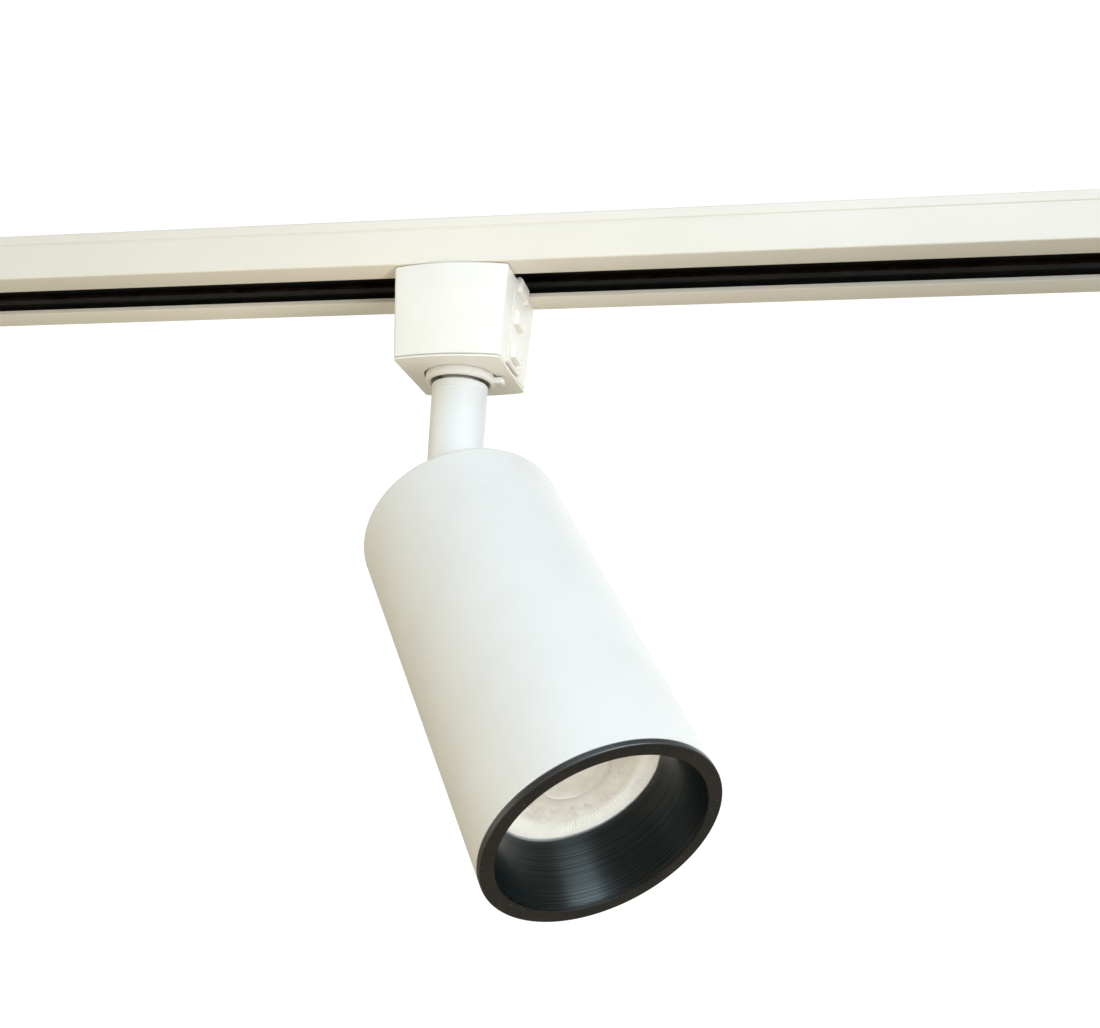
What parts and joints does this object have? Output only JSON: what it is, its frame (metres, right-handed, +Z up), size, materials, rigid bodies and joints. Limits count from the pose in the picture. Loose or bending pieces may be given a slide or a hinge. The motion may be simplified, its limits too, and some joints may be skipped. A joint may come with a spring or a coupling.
{
  "type": "track spotlight",
  "caption": "Cylindrical spotlight on a swivel stem and twist-lock adapter, clipped into a slotted two-wire lighting track section.",
  "frame": {"origin": "on the rail's back face, where it meets the ceiling, on the stem's vertical axis", "axes": "+X along the rail, +Z up into the ceiling; the lamp head leans towards +X and -Y"},
  "size_m": [0.3956, 0.0998, 0.1849],
  "materials": {
    "white_paint": "fine matt white powder coat on aluminium",
    "white_plastic": "satin moulded plastic",
    "black_insulator": "black extruded plastic",
    "black_plastic": "matt",
    "black_paint": "satin black with fine turning lines",
    "copper": "bare copper strip",
    "brass": "turned",
    "steel": "zinc plated",
    "ceramic": "unglazed steatite",
    "board_white": "white solder mask",
    "phosphor": "phosphor coating",
    "clear_lens": "clear moulded lens with ribbed ring",
    "brown_wire": "insulated lead",
    "blue_wire": "insulated lead"
  },
  "bodies": {
    "track": {"rail_extrusion": "white_paint", "insulator_front": "black_insulator", "insulator_rear": "black_insulator", "conductor_live": "copper", "conductor_neutral": "copper", "end_cap_left": "white_plastic", "end_cap_right": "white_plastic"},
    "adapter": {"adapter_housing": "white_plastic", "adapter_cover": "white_plastic", "stem_bridge": "steel", "bridge_screw_front": "steel", "bridge_screw_rear": "steel", "latch_spring": "steel"},
    "contact_lock": {"contact_rotor": "black_insulator", "contact_blade_live": "copper", "contact_blade_neutral": "copper", "locking_lever": "white_plastic"},
    "latch": {"end_latch": "white_plastic"},
    "stem": {"stem_tube": "white_paint", "stem_washer": "steel", "stem_nut": "steel", "pivot_screw": "steel", "pivot_nut": "steel", "tilt_washer_left": "black_plastic", "tilt_washer_right": "black_plastic"},
    "head": {"head_neck": "white_paint", "head_body": "white_paint", "neck_nut": "steel", "lamp_bracket": "steel", "bracket_screw_left": "steel", "bracket_screw_right": "steel", "lamp_socket": "ceramic", "lamp_housing": "white_plastic", "lamp_pin_left": "brass", "lamp_pin_right": "brass", "led_board": "board_white", "led_chip": "phosphor", "lamp_lens": "clear_lens", "lead_live": "brown_wire", "lead_neutral": "blue_wire"},
    "ring": {"front_ring": "black_paint"}
  },
  "joints": [
    {"name": "adapter_slide", "type": "slide", "parent": "track", "child": "adapter", "axis": [1, 0, 0], "range_m": [-0.16, 0.16]},
    {"name": "lock_turn", "type": "hinge", "parent": "adapter", "child": "contact_lock", "pos_m": [0, 0, -0.03], "axis": [0, 0, 1], "range_deg": [0, 90]},
    {"name": "latch_release", "type": "slide", "parent": "adapter", "child": "latch", "axis": [0, 0, -1], "range_m": [0, 0.0014], "stiffness_N_per_m": 800, "springref_m": -0.003, "deforming": ["latch_spring"]},
    {"name": "stem_pan", "type": "hinge", "parent": "adapter", "child": "stem", "pos_m": [0, 0, -0.08], "axis": [0, 0, 1], "range_deg": [-170, 170]},
    {"name": "head_tilt", "type": "hinge", "parent": "stem", "child": "head", "pos_m": [0, 0, -0.08], "axis": [-0.7157, -0.6984, 0], "range_deg": [-43, 47]},
    {"name": "ring_pull", "type": "slide", "parent": "head", "child": "ring", "axis": [0.4763, -0.4881, -0.7314], "range_m": [0, 0.02]}
  ]
}
